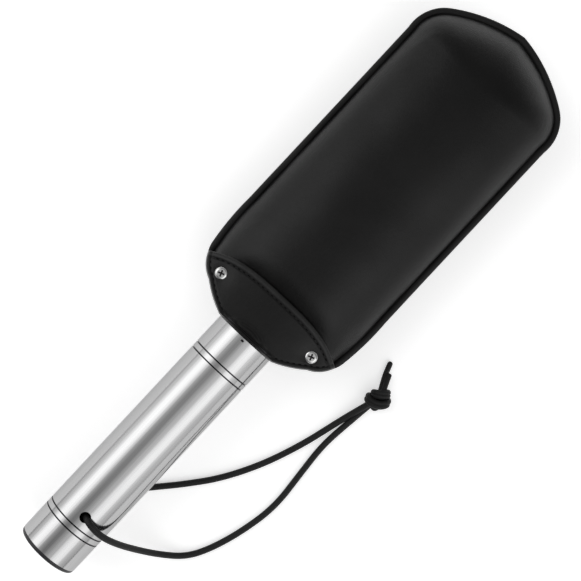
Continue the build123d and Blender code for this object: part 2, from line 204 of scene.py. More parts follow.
def frames_along(path):
    """A side and a lift direction at each point of a path, turning as little as possible."""
    tangents = []
    for index in range(len(path)):
        before, after = path[max(0, index - 1)], path[min(len(path) - 1, index + 1)]
        tangents.append((after - before).normalized())
    start = Vector((0, 0, 1)) if abs(tangents[0].z) < 0.9 else Vector((1, 0, 0))
    side = tangents[0].cross(start).normalized()
    found = []
    for tangent in tangents:
        side = (side - tangent * side.dot(tangent)).normalized()
        found.append((side, tangent.cross(side)))
    return found


def tube_shape(path, radius_mm, around=20, taper=None):
    """The points, faces and uvs of a closed round tube.

    A taper function gives a radius factor from the share of the way along it."""
    verts, uvs, travelled = [], [], 0.0
    for index, (point, (side, lift)) in enumerate(zip(path, frames_along(path))):
        if index:
            travelled += (point - path[index - 1]).length
        share = index / (len(path) - 1)
        radius = radius_mm * MM * (taper(share) if taper else 1.0)
        for turn in range(around):
            angle = 2 * math.pi * turn / around
            verts.append(point + (side * math.cos(angle) + lift * math.sin(angle)) * radius)
            uvs.append((turn / around, travelled / MM / (2 * math.pi * radius_mm)))
    faces = grid_faces(len(path), around, closed=True)
    faces.append(tuple(range(around - 1, -1, -1)))
    last = (len(path) - 1) * around
    faces.append(tuple(range(last, last + around)))
    return verts, faces, uvs


def bundle(name, shapes):
    """One mesh object from several shapes, each given as its points, faces and uvs."""
    verts, faces, uvs = [], [], []
    for more_verts, more_faces, more_uvs in shapes:
        faces += [tuple(index + len(verts) for index in face) for face in more_faces]
        verts += more_verts
        uvs += more_uvs
    return make_mesh(name, verts, faces, uvs)


def tube(name, path, radius_mm, taper=None):
    """A round tube along a path in metres."""
    return bundle(name, [tube_shape(path, radius_mm, taper=taper)])


def nurbs_line(name, points_mm):
    """The smooth line of a NURBS spline with these control points, as points in metres."""
    curve = bpy.data.curves.new(name, "CURVE")
    curve.dimensions = "3D"
    curve.resolution_u = 16
    spline = curve.splines.new("NURBS")
    spline.points.add(len(points_mm) - 1)
    for control, point in zip(spline.points, points_mm):
        control.co = (*at(*point), 1.0)
    spline.order_u = 3
    spline.use_endpoint_u = True
    holder = bpy.data.objects.new(name, curve)
    bpy.context.scene.collection.objects.link(holder)
    bpy.context.view_layer.update()
    mesh = bpy.data.meshes.new_from_object(holder)
    line = [v.co.copy() for v in mesh.vertices]
    bpy.data.objects.remove(holder)
    bpy.data.meshes.remove(mesh)
    return line


def paint(piece, material):
    """Gives a piece or CAD node one material."""
    if piece.data.materials:
        for index in range(len(piece.data.materials)):
            piece.data.materials[index] = material
    else:
        piece.data.materials.append(material)


# ---- Materials --------------------------------------------------------------------------------


def fill_ramp(ramp, stops):
    """Sets the (position, colour) stops of a colour ramp node."""
    elements = ramp.color_ramp.elements
    while len(elements) < len(stops):
        elements.new(0.5)
    for element, (position, colour) in zip(elements, stops):
        element.position = position
        element.color = (*colour, 1.0)


class Shader:
    """A Principled material with short ways to add the nodes used below."""

    def __init__(self, name, **settings):
        self.material = bpy.data.materials.new(name)
        self.material.use_nodes = True
        self.tree = self.material.node_tree
        self.surface = self.tree.nodes["Principled BSDF"]
        self.settle(**settings)
        self.place = self.tree.nodes.new("ShaderNodeTexCoord")

    def settle(self, **settings):
        """Sets constants on the shader's own sockets."""
        for socket, value in settings.items():
            self.surface.inputs[socket.replace("_", " ")].default_value = value

    def node(self, kind, inputs=None, **attributes):
        """A node with its attributes set, and its inputs linked or set."""
        made = self.tree.nodes.new(kind)
        for key, value in attributes.items():
            setattr(made, key, value)
        for key, value in (inputs or {}).items():
            if isinstance(value, bpy.types.NodeSocket):
                self.tree.links.new(value, made.inputs[key])
            else:
                made.inputs[key].default_value = value
        return made

    def stretched(self, scale):
        """Object coordinates multiplied by a scale on each axis."""
        mapping = self.node("ShaderNodeMapping", {"Vector": self.place.outputs["Object"]})
        mapping.inputs["Scale"].default_value = scale
        return mapping.outputs["Vector"]

    def noise(self, scale, detail=3.0, vector=None):
        """Noise values about 0.5, with a scale in features per metre."""
        inputs = {"Scale": scale, "Detail": detail, "Roughness": 0.5}
        inputs["Vector"] = vector or self.place.outputs["Object"]
        return self.node("ShaderNodeTexNoise", inputs).outputs["Fac"]

    def cells(self, scale, vector=None):
        """Distances from the edges of Voronoi cells."""
        inputs = {"Scale": scale, "Vector": vector or self.place.outputs["Object"]}
        cells = self.node("ShaderNodeTexVoronoi", inputs, feature="DISTANCE_TO_EDGE")
        return cells.outputs["Distance"]

    def spread(self, value, low, high, to_low, to_high):
        """Values remapped from one range to another and clamped."""
        inputs = {"Value": value, 1: low, 2: high, 3: to_low, 4: to_high}
        return self.node("ShaderNodeMapRange", inputs).outputs["Result"]

    def maths(self, operation, first, second=0.0):
        """One arithmetic step."""
        return self.node("ShaderNodeMath", {0: first, 1: second}, operation=operation).outputs[0]

    def colours(self, factor, *stops):
        """A colour ramp through (position, colour) stops."""
        ramp = self.node("ShaderNodeValToRGB", {"Fac": factor})
        fill_ramp(ramp, stops)
        return ramp.outputs["Color"]

    def drive(self, socket, value):
        """Links a value to a socket of the surface shader."""
        self.tree.links.new(value, self.surface.inputs[socket])

    def relief(self, *layers):
        """Bump from (height, depth in metres) layers, the first one deepest in the chain."""
        normal = None
        for height, depth in layers:
            inputs = {"Height": height, "Distance": depth, "Strength": 1.0}
            if normal is not None:
                inputs["Normal"] = normal
            normal = self.node("ShaderNodeBump", inputs).outputs["Normal"]
        self.drive("Normal", normal)


# The name of the mesh attribute that says where a painted highlight goes on the leather, and the paler
# colour painted there
LIP_HIGHLIGHT = "lip_highlight"
LIP_HIGHLIGHT_COLOUR = (0.02, 0.0202, 0.02)


def mark_lip_highlight(piece, amounts):
    """Stores how much painted highlight the leather gets at each vertex, from 0 to 1."""
    layer = piece.data.attributes.new(LIP_HIGHLIGHT, "FLOAT", "POINT")
    layer.data.foreach_set("value", amounts)


def leather_material(name, tone, gloss, shine):
    """Smooth black nappa: tiny pores and creases, patchy sheen, and a paler painted highlight where it is
    marked.
    """
    shader = Shader(name, Specular_IOR_Level=shine)
    pores = shader.cells(1500.0)
    creases = shader.cells(420.0, vector=shader.stretched((1.0, 0.7, 1.0)))
    patches = shader.noise(55.0, 4.0)
    fine = shader.noise(900.0, 3.0)
    shade = shader.colours(patches, (0.3, (tone * 0.8,) * 3), (0.7, (tone * 1.25, tone * 1.22, tone * 1.2)))
    # Painted highlight: where the mesh attribute is marked, the base colour is mixed towards a paler grey,
    # standing in for light caught on the flap's turned lip.
    wear_and_highlight = shader.node("ShaderNodeAttribute", attribute_name=LIP_HIGHLIGHT).outputs["Fac"]
    highlighted = shader.node("ShaderNodeMix", {0: wear_and_highlight, 6: shade, 7: (*LIP_HIGHLIGHT_COLOUR, 1.0)}, data_type="RGBA")
    shader.drive("Base Color", highlighted.outputs[2])
    base = shader.spread(patches, 0.3, 0.7, gloss - 0.05, gloss + 0.06)
    shader.drive("Roughness", shader.maths("ADD", base, shader.spread(fine, 0.3, 0.7, -0.03, 0.03)))
    pore_height = shader.spread(pores, 0.0, 0.12, 0.0, 1.0)
    crease_height = shader.spread(creases, 0.0, 0.05, 0.0, 1.0)
    shader.relief((pore_height, 0.000018), (crease_height, 0.00002), (fine, 0.00003))
    return shader.material


def lining_material():
    """Grey-black woven lining, with its threads in the pouch's own plane."""
    shader = Shader("pouch_lining", Roughness=0.9)
    weave_x = shader.node("ShaderNodeTexWave", {"Scale": 420.0, "Vector": shader.place.outputs["Object"]})
    weave_y = shader.node(
        "ShaderNodeTexWave",
        {"Scale": 420.0, "Vector": shader.place.outputs["Object"]},
        bands_direction="Y",
    )
    weave = shader.maths("MULTIPLY", weave_x.outputs["Fac"], weave_y.outputs["Fac"])
    shader.drive("Base Color", shader.colours(weave, (0.0, (0.012,) * 3), (1.0, (0.05, 0.05, 0.055))))
    shader.relief((weave, 0.00008))
    return shader.material


def thread_material():
    """Waxed black thread with twisted plies."""
    shader = Shader("stitching_thread", Roughness=0.8, Specular_IOR_Level=0.03)
    twist = shader.node(
        "ShaderNodeTexWave",
        {"Scale": 900.0, "Vector": shader.place.outputs["Object"]},
        bands_direction="DIAGONAL",
    ).outputs["Fac"]
    shader.drive("Base Color", shader.colours(twist, (0.0, (0.002,) * 3), (1.0, (0.006, 0.006, 0.0065))))
    shader.relief((twist, 0.00004))
    return shader.material


def cord_material():
    """Round woven black cord: two crossing sets of strands round the tube, worked out from its UVs."""
    shader = Shader("woven_cord", Specular_IOR_Level=0.22)
    split = shader.node("ShaderNodeSeparateXYZ", {"Vector": shader.place.outputs["UV"]})
    around = shader.maths("MULTIPLY", split.outputs["X"], 2 * math.pi * 9)
    along = shader.maths("MULTIPLY", split.outputs["Y"], 2 * math.pi * 7)
    rising = shader.maths("SINE", shader.maths("ADD", along, around))
    falling = shader.maths("SINE", shader.maths("SUBTRACT", along, around))
    weave = shader.maths("MULTIPLY", rising, falling)
    height = shader.spread(weave, -1.0, 1.0, 0.0, 1.0)
    fuzz = shader.noise(2500.0, 2.0)
    shader.drive("Base Color", shader.colours(height, (0.1, (0.004,) * 3), (0.9, (0.015, 0.0152, 0.0155))))
    shader.drive("Roughness", shader.spread(fuzz, 0.3, 0.7, 0.42, 0.62))
    shader.relief((height, 0.00007), (fuzz, 0.00003))
    return shader.material


def polished_steel_material():
    """Mirror-polished stainless tube with faint lengthwise polishing lines, and shade painted dark into its
    turned grooves and holes.
    """
    shader = Shader("polished_steel", Metallic=1.0, Specular_Tint=(0.75, 0.75, 0.75, 1.0))
    lines = shader.noise(1.0, 4.0, shader.stretched((2600.0, 22.0, 2600.0)))
    smudges = shader.noise(70.0, 3.0)
    place = shader.node("ShaderNodeSeparateXYZ", {"Vector": shader.place.outputs["Object"]})
    drop = shader.maths("SUBTRACT", place.outputs["Z"], axis_z * MM)
    squared = shader.maths(
        "ADD",
        shader.maths("MULTIPLY", place.outputs["X"], place.outputs["X"]),
        shader.maths("MULTIPLY", drop, drop),
    )
    radius = shader.maths("SQRT", squared)
    # Painted shade: everything lying below the tube's outer surface (turned grooves, holes, crimp and the
    # inside) gets a near-black colour instead of the polished tint.
    unshaded_skin = shader.spread(radius, (grip_radius - 0.16) * MM, (grip_radius - 0.03) * MM, 0.0, 1.0)
    tint = shader.colours(lines, (0.3, (0.405, 0.405, 0.408)), (0.7, (0.435, 0.435, 0.436)))
    groove_shade = (0.035, 0.035, 0.037, 1.0)
    shade = shader.node("ShaderNodeMix", {0: unshaded_skin, 6: groove_shade, 7: tint}, data_type="RGBA")
    shader.drive("Base Color", shade.outputs[2])
    polish = shader.maths(
        "ADD",
        shader.spread(lines, 0.3, 0.7, 0.07, 0.12),
        shader.spread(smudges, 0.35, 0.7, 0.0, 0.05),
    )
    shader.drive("Roughness", polish)
    shader.relief((lines, 0.000002))
    return shader.material


def drawn_steel_material(name, roughness, tone):
    """Drawn stainless tube or wire with fine lengthwise lines."""
    shader = Shader(name, Metallic=1.0)
    lines = shader.noise(1.0, 3.0, shader.stretched((2200.0, 30.0, 2200.0)))
    shader.drive("Base Color", shader.colours(lines, (0.3, (tone * 0.92,) * 3), (0.7, (tone,) * 3)))
    shader.drive("Roughness", shader.spread(lines, 0.3, 0.7, roughness - 0.04, roughness + 0.06))
    shader.relief((lines, 0.000006))
    return shader.material


def screw_material():
    """Nickel-plated screw steel, with shade painted dark down in the cross recess."""
    shader = Shader("screw_steel", Metallic=1.0)
    wear_and_highlight = shader.noise(700.0, 4.0)
    plating = shader.colours(wear_and_highlight, (0.3, (0.5, 0.5, 0.5)), (0.7, (0.68, 0.68, 0.67)))
    place = shader.node("ShaderNodeSeparateXYZ", {"Vector": shader.place.outputs["Object"]})
    across = shader.maths("SUBTRACT", shader.maths("ABSOLUTE", place.outputs["X"]), screw_x)
    along = shader.maths("SUBTRACT", place.outputs["Y"], screw_y)
    out = shader.maths("SQRT", shader.maths(
        "ADD", shader.maths("MULTIPLY", across, across), shader.maths("MULTIPLY", along, along),
    ))
    # Painted shade: inside the cross recess, below the head's top and near its middle, the plating colour
    # is swapped for near-black.
    flat_top = shader.spread(out, 1.6 * MM, 1.75 * MM, 0.0, 1.0)
    at_top = shader.spread(place.outputs["Z"], screw_top - 0.25 * MM, screw_top - 0.1 * MM, 0.0, 1.0)
    unshaded_plating = shader.maths("MAXIMUM", flat_top, at_top)
    shade = shader.node(
        "ShaderNodeMix", {0: unshaded_plating, 6: (0.03, 0.03, 0.03, 1.0), 7: plating}, data_type="RGBA",
    )
    shader.drive("Base Color", shade.outputs[2])
    shader.drive("Roughness", shader.spread(wear_and_highlight, 0.3, 0.7, 0.16, 0.3))
    shader.relief((wear_and_highlight, 0.00001))
    return shader.material


def moulded_material(name, colour, roughness, grain=1800.0):
    """Moulded plastic or rubber with a fine even grain."""
    shader = Shader(name)
    speckle = shader.noise(grain, 3.0)
    cloud = shader.noise(120.0, 2.0)
    dark, light = tuple(c * 0.85 for c in colour), tuple(min(1.0, c * 1.15) for c in colour)
    shader.drive("Base Color", shader.colours(cloud, (0.3, dark), (0.7, light)))
    shader.drive("Roughness", shader.spread(speckle, 0.3, 0.7, roughness - 0.06, roughness + 0.06))
    shader.relief((speckle, 0.00002))
    return shader.material


leather = leather_material("black_leather", 0.0035, 0.35, 0.22)
edge_leather = leather_material("leather_edge", 0.008, 0.5, 0.2)
lining = lining_material()
thread = thread_material()
woven = cord_material()
grip_steel = polished_steel_material()
pole_steel = drawn_steel_material("pole_steel", 0.2, 0.68)
wire_steel = drawn_steel_material("wire_steel", 0.16, 0.72)
screw_steel = screw_material()
black_plastic = moulded_material("black_plastic", (0.006, 0.006, 0.008), 0.5)
acetal = moulded_material("guide_plastic", (0.62, 0.61, 0.56), 0.45)
red_plastic = moulded_material("red_plastic", (0.5, 0.03, 0.02), 0.3)
rubber = moulded_material("black_rubber", (0.02, 0.02, 0.02), 0.7, 900.0)

by_slot = {
    "polished_steel": grip_steel,
    "pole_steel": pole_steel,
    "wire_steel": wire_steel,
    "screw_steel": screw_steel,
    "black_plastic": black_plastic,
    "guide_plastic": acetal,
    "red_plastic": red_plastic,
    "black_rubber": rubber,
    "black_leather": leather,
    "leather_edge": edge_leather,
    "black_cord": woven,
}
for part in frame["record"]["subparts"]:
    paint(frame["nodes"][part["node"]], by_slot[part["material_slot"]])

# ---- Shapes of the pouch and cup --------------------------------------------------------------

# The flaps in the plan: half of their straight foot, points on a lower edge as (x, station), the
# station of their tips, and how far past their box and how squarely the upper edge bulges
FOOT_HALF = 15.8
SLOPE = (23.4, 134.0)
BELLY = (29.9, 138.5)
TIP_CORNER = (36.2, 143.3)
TIP_STATION = 147.5
LIP_REACH = 0.9
LIP_POWER = 3.2

# The sections across the cup and the pouch
CUP_POWER = 2.0
CUP_BREADTH = 7.4
NECK_POWER = 2.1
NECK_GAP = 0.6
NECK_LENGTH = 10.0
POUCH_POWER = 2.4
SIDE_EXPONENT = 0.67
END_EXPONENT = 0.92
SPINE_END = 277.0


def superellipse(x, half, depth, power):
    """The height of a superellipse at x."""
    share = min(1.0, abs(x) / half)
    return depth * (1 - share**power) ** (1 / power)


def pouch_outline():
    """The right half of the pouch's outer edge as (x, station) points, from the mouth to the tip."""
    corner = (half_width - 1.5, 150.8)
    line = arc_points((half_width - 4.3, 145.2), (half_width - 2.6, 147.8), corner, 6)
    line += arc_points(corner, (half_width - 0.5, 158.5), (half_width, 178.0), 14)[1:]
    line += arc_points((half_width, 282.0), (39.8, 293.6), (34.0, 300.6), 14)
    line += arc_points((34.0, 300.6), (17.4, 309.6), (0.0, length_mm), 22)[1:]
    return [(p.x, p.y) for p in resample([(x, s, 0) for x, s in line], 1.6)]


def inset_line(line, amount):
    """A line moved to its left by an amount, ends included."""
    moved = []
    for index, (x, y) in enumerate(line):
        before, after = line[max(0, index - 1)], line[min(len(line) - 1, index + 1)]
        dx, dy = after[0] - before[0], after[1] - before[1]
        size = math.hypot(dx, dy)
        moved.append((x - dy / size * amount, y + dx / size * amount))
    return moved


# Soft folds of the pouch, each from x, station to x, station, with its height and width
CREASES = [
    (-30.5, 284.0, -37.0, 258.0, 0.45, 1.3),
    (36.2, 153.0, 34.0, 164.0, -0.7, 1.2),
    (-36.0, 154.0, -31.0, 170.0, 0.35, 1.6),
    (33.5, 171.0, 37.5, 190.0, 0.3, 1.5),
]
outer_edge = pouch_outline()
seam_edge = [(max(0.0, x), s) for x, s in inset_line(outer_edge, FLANGE)]
seam_edge[-1] = (0.0, seam_edge[-1][1])


def flap_arc(x):
    """The station of the flaps' curved upper edge."""
    rise = cup_arc_top + LIP_REACH - TIP_STATION
    share = min(1.0, abs(x) / cup_half)
    return TIP_STATION + rise * (1 - share**LIP_POWER)


def cup_height(x, depth):
    """The cup's outer height over the grip's axis."""
    return superellipse(x, cup_half + CUP_BREADTH, depth, CUP_POWER)


def dip(distance, width):
    """A smooth bump of height 1 at no distance, fading over a width."""
    return math.exp(-((distance / width) ** 2))


def line_distance(x, station, x0, s0, x1, s1):
    """How far a point is from a straight line between two points in the plan."""
    dx, ds = x1 - x0, s1 - s0
    share = min(1.0, max(0.0, ((x - x0) * dx + (station - s0) * ds) / (dx * dx + ds * ds)))
    return math.hypot(x - x0 - share * dx, station - s0 - share * ds)


def pouch_height(x, station, share, steep, depth, side):
    """The pouch's height over its seam plane at a share of the way from the seam to the spine.

    It is full past the flaps, and drawn in to a neck that fits inside them. Steep is 0 on the sides,
    where the way to the spine runs across the pouch, and 1 at the tip."""
    exponent = SIDE_EXPONENT + (END_EXPONENT - SIDE_EXPONENT) * steep
    body = depth * (1 - (1 - share) ** POUCH_POWER) ** exponent
    neck_depth = cup_depth * depth / front_depth - LEATHER - NECK_GAP
    neck = superellipse(x, cup_half - LEATHER - 0.2, neck_depth, NECK_POWER)
    beyond = station - flap_arc(x)
    swell = 1 - (1 - min(1.0, max(0.0, beyond) / NECK_LENGTH)) ** 2
    height = neck + (body - neck) * swell if body > neck else body
    soft = ripple(x, station, side, 34.0) * 0.55 + ripple(x, station, side, 15.0, 3.0) * 0.18
    for *line, fold, width in CREASES:
        soft += fold * dip(line_distance(x, station, *line), width)
    return height + soft * smooth(0.0, 0.35, share) * smooth(2.0, 14.0, beyond)


def pouch_panel(name, side):
    """One leather panel of the pouch, side 1 for the front and -1 for the back."""
    depth = front_depth if side > 0 else back_depth + BACK_CROWN
    rays = seam_edge + [(-x, s) for x, s in reversed(seam_edge[:-1])]
    steps = 26
    verts = []
    for x, station in rays:
        spine = (0.0, min(station, SPINE_END))
        reach_x, reach_s = spine[0] - x, spine[1] - station
        reach = math.hypot(reach_x, reach_s)
        steep = (reach_s / reach) ** 2 if reach else 0.0
        for step in range(steps + 1):
            share = (step / steps) ** 1.7
            px, ps = x + reach_x * share, station + reach_s * share
            height = pouch_height(px, ps, share, steep, depth, side)
            if side < 0:
                height = min(height, back_depth - FLOOR_GAP)
            verts.append(at(px, ps, axis_z + side * height))
    faces = grid_faces(len(rays), steps + 1)
    if side > 0:
        faces = [tuple(reversed(face)) for face in faces]
    piece = make_mesh(name, verts, faces)
    weld(piece)
    paint(piece, leather)
    thicken(piece, LEATHER, lining)
    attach(piece, "pouch")
    return piece


pouch_front = pouch_panel("pouch_front_leather", 1)
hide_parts("pouch_front")
pouch_back = pouch_panel("pouch_back_leather", -1)
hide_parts("pouch_back")


# The upper half of the binding's section, as reach inwards and height over the seam
BINDING_WIDTH = 3.9
BINDING_TOP = [(0.14, 0.8), (0.6, 1.4), (1.5, 1.7), (2.5, 1.5), (3.3, 0.8)]


def pouch_binding():
    """The pouch's edge: both panels' margins sewn flat together, all the way round.

    Its two ends are slimmer, where they tuck in between the flaps."""
    line = outer_edge + [(-x, s) for x, s in reversed(outer_edge[:-1])]
    section = [(0.0, 0.0), *BINDING_TOP, (BINDING_WIDTH, 0.0)]
    section += [(reach, -lift) for reach, lift in reversed(BINDING_TOP)]
    verts, uvs = [], []
    for index, (x, station) in enumerate(line):
        before, after = line[max(0, index - 1)], line[min(len(line) - 1, index + 1)]
        along = Vector((after[0] - before[0], after[1] - before[1], 0)).normalized()
        inward = Vector((-along.y, along.x, 0))
        wave = ripple(x, station, 0.0, 17.0, 5.0) * 0.45
        width = 1.0 + 0.12 * ripple(x, station, 0.0, 26.0, 9.0)
        tucked = smooth(5.0, 0.5, station - outer_edge[0][1])
        width *= 1 - 0.4 * tucked
        for turn, (reach, lift) in enumerate(section):
            spot = Vector((x, station, 0)) + inward * reach * width
            height = lift * (1 - 0.5 * tucked) + wave * (1 - reach / BINDING_WIDTH)
            verts.append(at(spot.x, spot.y, axis_z + height))
            uvs.append((turn / len(section), index / 10))
    count = len(section)
    faces = grid_faces(len(line), count, closed=True)
    faces.append(tuple(range(count - 1, -1, -1)))
    faces.append(tuple(range((len(line) - 1) * count, len(line) * count)))
    piece = make_mesh("pouch_binding", verts, faces, uvs)
    paint(piece, edge_leather)
    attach(piece, "pouch")
    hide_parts("pouch_flange")
    return piece


pouch_binding()

# ---- Cup --------------------------------------------------------------------------------------

# Stitches: how far they are inside the lip and inside the lower edges, and their size
LIP_STITCHES = 3.0
EDGE_STITCHES = 2.8
STITCH_LENGTH = 1.55
STITCH_PITCH = 2.6
THREAD = 0.5

# The wall at the cup's lower edges, wider over the grip, and the fold just above the foot
WALL = 1.5
WALL_OVER_GRIP = 3.5
FOLD_HEIGHT = 2.1

lower_arc = arc_points((FOOT_HALF, cup_foot), SLOPE, BELLY, 10)
lower_arc += arc_points(BELLY, TIP_CORNER, (cup_half, TIP_STATION), 14)[1:]


def interpolate(line, x):
    """The second value of a line at a first value, for points in rising order."""
    for (x0, y0), (x1, y1) in zip(line, line[1:]):
        if x <= x1:
            return y0 + (y1 - y0) * max(0.0, x - x0) / (x1 - x0)
    return line[-1][1]


def cup_lower_edge(x):
    """The station of the cup's lower edge, straight over the grip and curved beside it."""
    return interpolate(lower_arc, abs(x)) if abs(x) > FOOT_HALF else cup_foot


def edge_distance(x, station):
    """How far a point is inside the flap's lower edge."""
    nearest = min(line_distance(abs(x), station, *p0, *p1) for p0, p1 in zip(lower_arc, lower_arc[1:]))
    if abs(x) <= FOOT_HALF:
        nearest = min(nearest, max(0.0, station - cup_foot))
    return nearest


def foot_height(x):
    """The height that the flap starts from at its lower edge: on the tube, or at the seam beside it."""
    reach = grip_radius + 0.5
    tube_top = math.sqrt(max(0.0, reach**2 - min(abs(x), reach) ** 2))
    return (tube_top + 1.3) * smooth(grip_radius + 1.2, grip_radius - 1.0, abs(x)) + 0.1


def flap_relief(x, station, inside, over_grip):
    """What the flap's leather adds to its plain shape, in millimetres."""
    above_foot = station - cup_foot
    below_lip = flap_arc(x) - station
    from_screw = math.hypot(abs(x) - screw_x / MM, station - (screw_y - butt_y) / MM)
    arch = math.hypot(x * 0.85, (above_foot - 1.0) * 1.6)
    fade = smooth(12.0, 6.0, arch) * smooth(2.0, 4.0, above_foot)
    wrinkle = 0.32 * math.sin(arch * 1.7) * fade
    fold = -1.3 * dip(above_foot - FOLD_HEIGHT, 0.5) * over_grip
    roll = -0.9 * smooth(1.1, 0.0, above_foot) * over_grip
    lip_groove = -0.4 * dip(below_lip - LIP_STITCHES, 0.4)
    edge_groove = -0.4 * dip(inside - EDGE_STITCHES, 0.4) * (1 - over_grip)
    lip = 0.25 * dip(below_lip - 1.5, 0.9) - 0.35 * smooth(0.4, 0.0, below_lip)
    screw_seat = -1.1 * dip(from_screw, 4.2)
    return wrinkle + fold + roll + lip_groove + edge_groove + lip + screw_seat


def flap_height(x, station, side):
    """The flap's outer height: a round wall at its lower edges, and nearly flat above it."""
    depth = cup_depth if side > 0 else back_depth + BACK_CROWN
    inside = edge_distance(x, station)
    foot = foot_height(x)
    over_grip = smooth(FOOT_HALF, 10.0, abs(x))
    round_over = min(1.0, inside / (WALL + (WALL_OVER_GRIP - WALL) * over_grip))
    edge = (1 - (1 - round_over) ** 2.6) ** 0.8
    soft = ripple(x, station, side, 9.0, 2.0) * 0.12 * edge
    body = cup_height(x, depth) + flap_relief(x, station, inside, over_grip) + soft
    return foot + (body - foot) * edge if body > foot else body


def flap_columns():
    """The x places of the flap's grid lines, dense at the tips and with one at each foot corner."""
    beside = [cup_half - (cup_half - FOOT_HALF) * (step / 50) ** 1.3 for step in range(51)]
    over = [FOOT_HALF * (1 - step / 44) for step in range(1, 88)]
    return beside + over + [-x for x in reversed(beside)]


def flap_lip_highlight(x, station):
    """How much painted highlight the flap's leather gets: most on the turned edge between the stitches and
    the lip.
    """
    lip = smooth(LIP_STITCHES, LIP_STITCHES - 1.0, flap_arc(x) - station)
    return lip * (0.75 + 0.5 * ripple(x, station, 0.0, 9.0, 7.0))


def flap(name, side):
    """A lens-shaped leather flap with turned edges, side 1 for the front and -1 for the back."""
    columns, rows = flap_columns(), 66
    verts, wear_and_highlight = [], []
    for row in range(rows + 1):
        share = 0.5 - 0.5 * math.cos(math.pi * row / rows)
        for x in columns:
            lower, upper = cup_lower_edge(x), flap_arc(x)
            station = lower + (upper - lower) * share
            height = flap_height(x, station, side)
            if side < 0:
                height = min(height, back_depth - FLOOR_GAP)
            verts.append(at(x, station, axis_z + side * height))
            # Each vertex also gets its share of the painted highlight along the lip.
            wear_and_highlight.append(flap_lip_highlight(x, station))
    faces = grid_faces(rows + 1, len(columns))
    if side > 0:
        faces = [tuple(reversed(face)) for face in faces]
    piece = make_mesh(name, verts, faces)
    mark_lip_highlight(piece, wear_and_highlight)
    weld(piece)
    paint(piece, leather)
    thicken(piece, LEATHER)
    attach(piece, "grip")
    return piece


def stitch_taper(share):
    """A radius factor that thins a stitch where it goes into the leather."""
    return max(0.3, 1 - (2 * share - 1) ** 4)


def stitch_row(line):
    """The shapes of one row of stitches along (x, station) points, laid on the front flap."""
    spaced = resample([(x, station, 0) for x, station in line], STITCH_PITCH)
    shapes = []
    for before, after in zip(spaced, spaced[1:]):
        middle, along = (before + after) / 2, (after - before).normalized()
        path = []
        for step in range(7):
            share = step / 6
            spot = middle + along * (share - 0.5) * STITCH_LENGTH
            sink = 0.3 * (2 * share - 1) ** 4
            path.append(at(spot.x, spot.y, axis_z + flap_height(spot.x, spot.y, 1) - sink))
        shapes.append(tube_shape(path, THREAD / 2, around=8, taper=stitch_taper))
    return shapes


def front_stitches():
    """The stitching inside the front flap's curved upper edge and its two sloped lower edges."""
    reach = cup_half - 5.0
    places = [reach * step / 40 for step in range(-40, 41)]
    upper = [(x, flap_arc(x) - LIP_STITCHES) for x in places]
    lower = [
        (x, station) for x, station in inset_line(lower_arc, EDGE_STITCHES)
        if station < flap_arc(x) - LIP_STITCHES - 0.5
    ]
    shapes = []
    for line in (upper, lower, [(-x, station) for x, station in lower]):
        shapes += stitch_row(line)
    piece = bundle("front_flap_stitches", shapes)
    paint(piece, thread)
    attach(piece, "grip")
    return piece


front_flap = flap("front_flap_leather", 1)
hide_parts("front_flap")
back_flap = flap("back_flap_leather", -1)
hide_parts("back_flap")
front_stitches()

# ---- Wrist cord -------------------------------------------------------------------------------

# The grip's two cord holes face each other on a line that is rolled this far from straight up
ROLL = math.radians(9.4)
LANYARD_STATION = 25.9


def on_lanyard_axis(distance):
    """A point on the axis of the grip's two cord holes, by its distance from the grip's axis."""
    return (distance * math.sin(ROLL), LANYARD_STATION, axis_z + distance * math.cos(ROLL))


# Control points of the cord's two legs as (x, station, z), from the holes to the knot
front_route = [
    on_lanyard_axis(8.0),
    on_lanyard_axis(17.4),
    (12.2, 24.2, 34.3),
    (20.8, 25.0, 26.4),
    (29.5, 27.0, 15.8),
    (38.6, 30.3, 6.8),
    (48.9, 37.0, 1.55),
    (54.9, 48.0, 1.5),
    (59.9, 63.5, 1.5),
    (63.3, 82.0, 1.5),
    (61.4, 102.0, 1.5),
    (60.0, 118.0, 1.5),
    (61.7, 134.0, 1.5),
    (63.3, 147.4, 2.2),
]
back_route = [
    on_lanyard_axis(-9.0),
    on_lanyard_axis(-18.24),
    (2.3, 34.6, 1.5),
    (8.6, 42.0, 1.5),
    (16.6, 51.0, 1.5),
    (25.6, 61.2, 1.5),
    (36.2, 74.8, 1.5),
    (46.0, 93.0, 1.5),
    (53.0, 112.0, 1.5),
    (57.0, 127.0, 1.5),
    (59.6, 137.0, 2.6),
    (62.6, 147.4, 4.9),
]


def cord_leg(name, route, node):
    """One leg of the wrist cord, as a tube along its route's smooth line."""
    line = nurbs_line(name + "_line", route)
    piece = tube(name, line, CORD / 2)
    paint(piece, woven)
    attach(piece, "grip")
    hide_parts(node)
    return piece, line


front_leg, front_line = cord_leg("cord_front_leg", front_route, "cord_front")
back_leg, back_line = cord_leg("cord_back_leg", back_route, "cord_back")

# The knot's middle as (x, station), and its strands, which are pulled thinner than the cord
KNOT = (64.1, 151.2)
STRAND = 2.6
STRAND_SPACING = 1.6


def rounded_end(share, start=0.9):
    """A radius factor that closes a cord end to a melted round tip."""
    if share < start:
        return 1.0
    return max(0.05, math.sqrt(1 - ((share - start) / (1 - start)) ** 2))


def rounded_both_ends(share):
    """A radius factor that closes both ends of a strand."""
    return rounded_end(share, 0.94) * rounded_end(1 - share, 0.94)


def knot_strands(points, across):
    """Two strands side by side along a line given from the knot's middle, with heights off the surface."""
    route = [(KNOT[0] + x, KNOT[1] + y, z) for x, y, z in points]
    line = resample(nurbs_line("knot_line", route), 0.3 * MM)
    beside = Vector((*across, 0.0)).normalized() * STRAND_SPACING / 2 * MM
    shapes = []
    for offset in (-beside, beside):
        shapes.append(tube_shape([point + offset for point in line], STRAND / 2, taper=rounded_both_ends))
    return shapes


